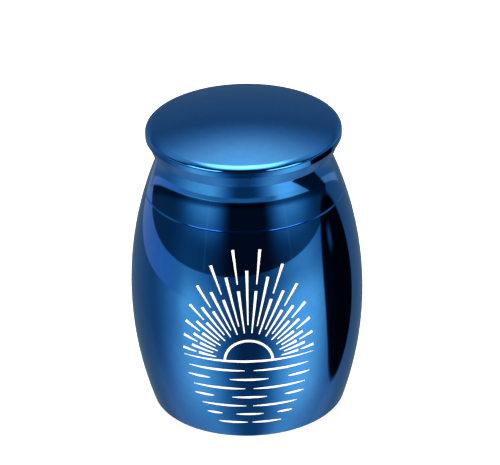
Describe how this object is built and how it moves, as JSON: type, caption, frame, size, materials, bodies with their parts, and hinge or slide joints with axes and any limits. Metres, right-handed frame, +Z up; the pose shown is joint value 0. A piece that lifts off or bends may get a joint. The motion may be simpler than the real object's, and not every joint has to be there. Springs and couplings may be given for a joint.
{
  "type": "keepsake funeral urn",
  "caption": "Small barrel-shaped metal keepsake urn with a lift-off domed lid on a hollow spigot, mirror-polished blue, holding a token portion of ashes.",
  "frame": {"origin": "centre of the flat underside", "axes": "+Z up along the axis both pieces are turned about; the marked front faces -Y"},
  "size_m": [0.03, 0.03, 0.04],
  "materials": {
    "blue_metal": "polished",
    "white_marking": "matte"
  },
  "bodies": {
    "root": {"vessel": "blue_metal", "lid": "blue_metal"}
  },
  "joints": []
}
